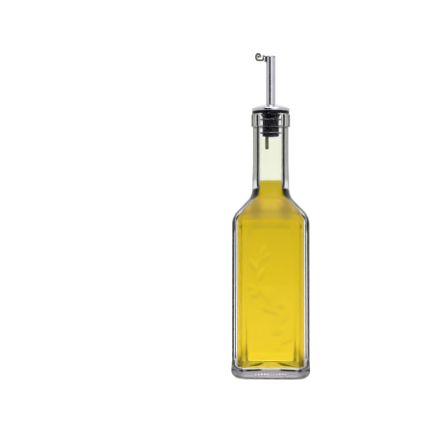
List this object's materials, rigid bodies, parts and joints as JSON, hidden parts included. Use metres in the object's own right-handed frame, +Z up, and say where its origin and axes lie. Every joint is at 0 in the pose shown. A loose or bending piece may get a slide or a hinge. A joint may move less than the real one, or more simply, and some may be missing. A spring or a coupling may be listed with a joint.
{
  "type": "oil and vinegar bottle",
  "caption": "Square clear glass bottle of oil with a round neck, a ribbed black stopper, a domed steel cap and an upright steel pour tube shut by a hinged flap.",
  "frame": {"origin": "middle of the base, on the surface that the bottle stands on", "axes": "+Z up along the bottle, -Y out of the front with the sprig in relief, -X the side that the spout pours to"},
  "size_m": [0.0674, 0.0674, 0.2799],
  "materials": {
    "glass": "clear, polished",
    "oil": "golden yellow oil, stood in for by a solid",
    "black_rubber": "smooth, half gloss",
    "steel": "polished stainless steel"
  },
  "bodies": {
    "bottle": {"glass_bottle": "glass", "oil_fill": "oil", "stopper": "black_rubber", "cap_dome": "steel", "pour_tube": "steel", "tube_end_plate": "steel", "outlet_seal": "black_rubber", "air_tube": "steel", "hinge_pin": "steel"},
    "flap": {"flap": "steel", "flap_roller": "steel"}
  },
  "joints": [
    {"name": "flap_hinge", "type": "hinge", "parent": "bottle", "child": "flap", "pos_m": [-0.00605, 0, 0.27695], "axis": [0, 1, 0], "range_deg": [0, 90]}
  ]
}
